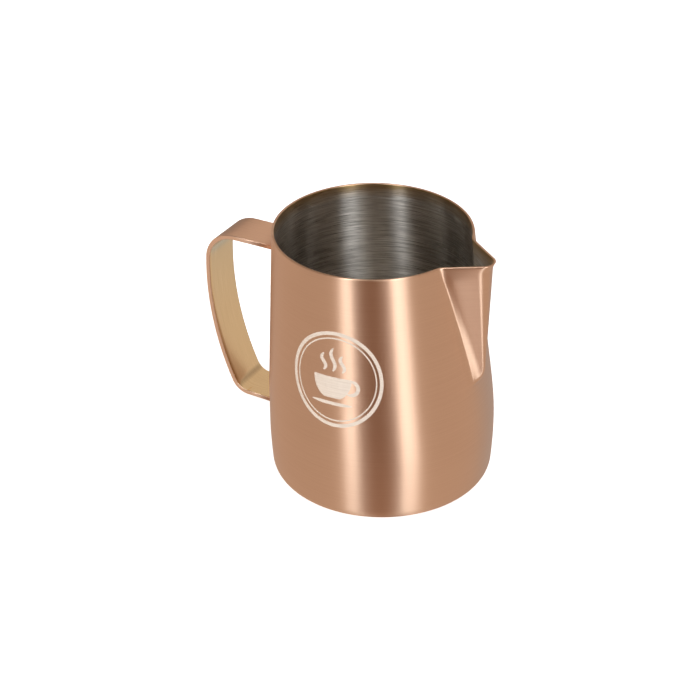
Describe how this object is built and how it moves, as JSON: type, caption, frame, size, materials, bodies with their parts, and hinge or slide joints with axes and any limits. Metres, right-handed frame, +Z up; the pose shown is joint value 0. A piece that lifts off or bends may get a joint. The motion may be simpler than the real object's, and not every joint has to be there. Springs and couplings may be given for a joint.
{
  "type": "milk frothing jug",
  "caption": "Open steel milk frothing jug, copper-coloured outside and bare brushed steel inside, with a pressed V pouring spout and a bent strap handle welded on behind.",
  "frame": {"origin": "middle of the flat base, on the axis of the round belly, on the face that the jug stands on", "axes": "+Z up, +X towards the spout with the handle at -X, and the jug is symmetric about the XZ plane"},
  "size_m": [0.1282, 0.091, 0.107],
  "materials": {
    "shell": "copper-coloured coating over circumferentially brushed steel outside, bare brushed steel inside",
    "strap": "copper-coloured satin coating, paler gold on the inner face",
    "weld": "dressed weld bead under the same coating",
    "mark": "laser-etched through the coating to matt steel"
  },
  "bodies": {
    "root": {"jug_body": "shell", "strap_handle": "strap", "upper_weld": "weld", "lower_weld": "weld"}
  },
  "joints": []
}
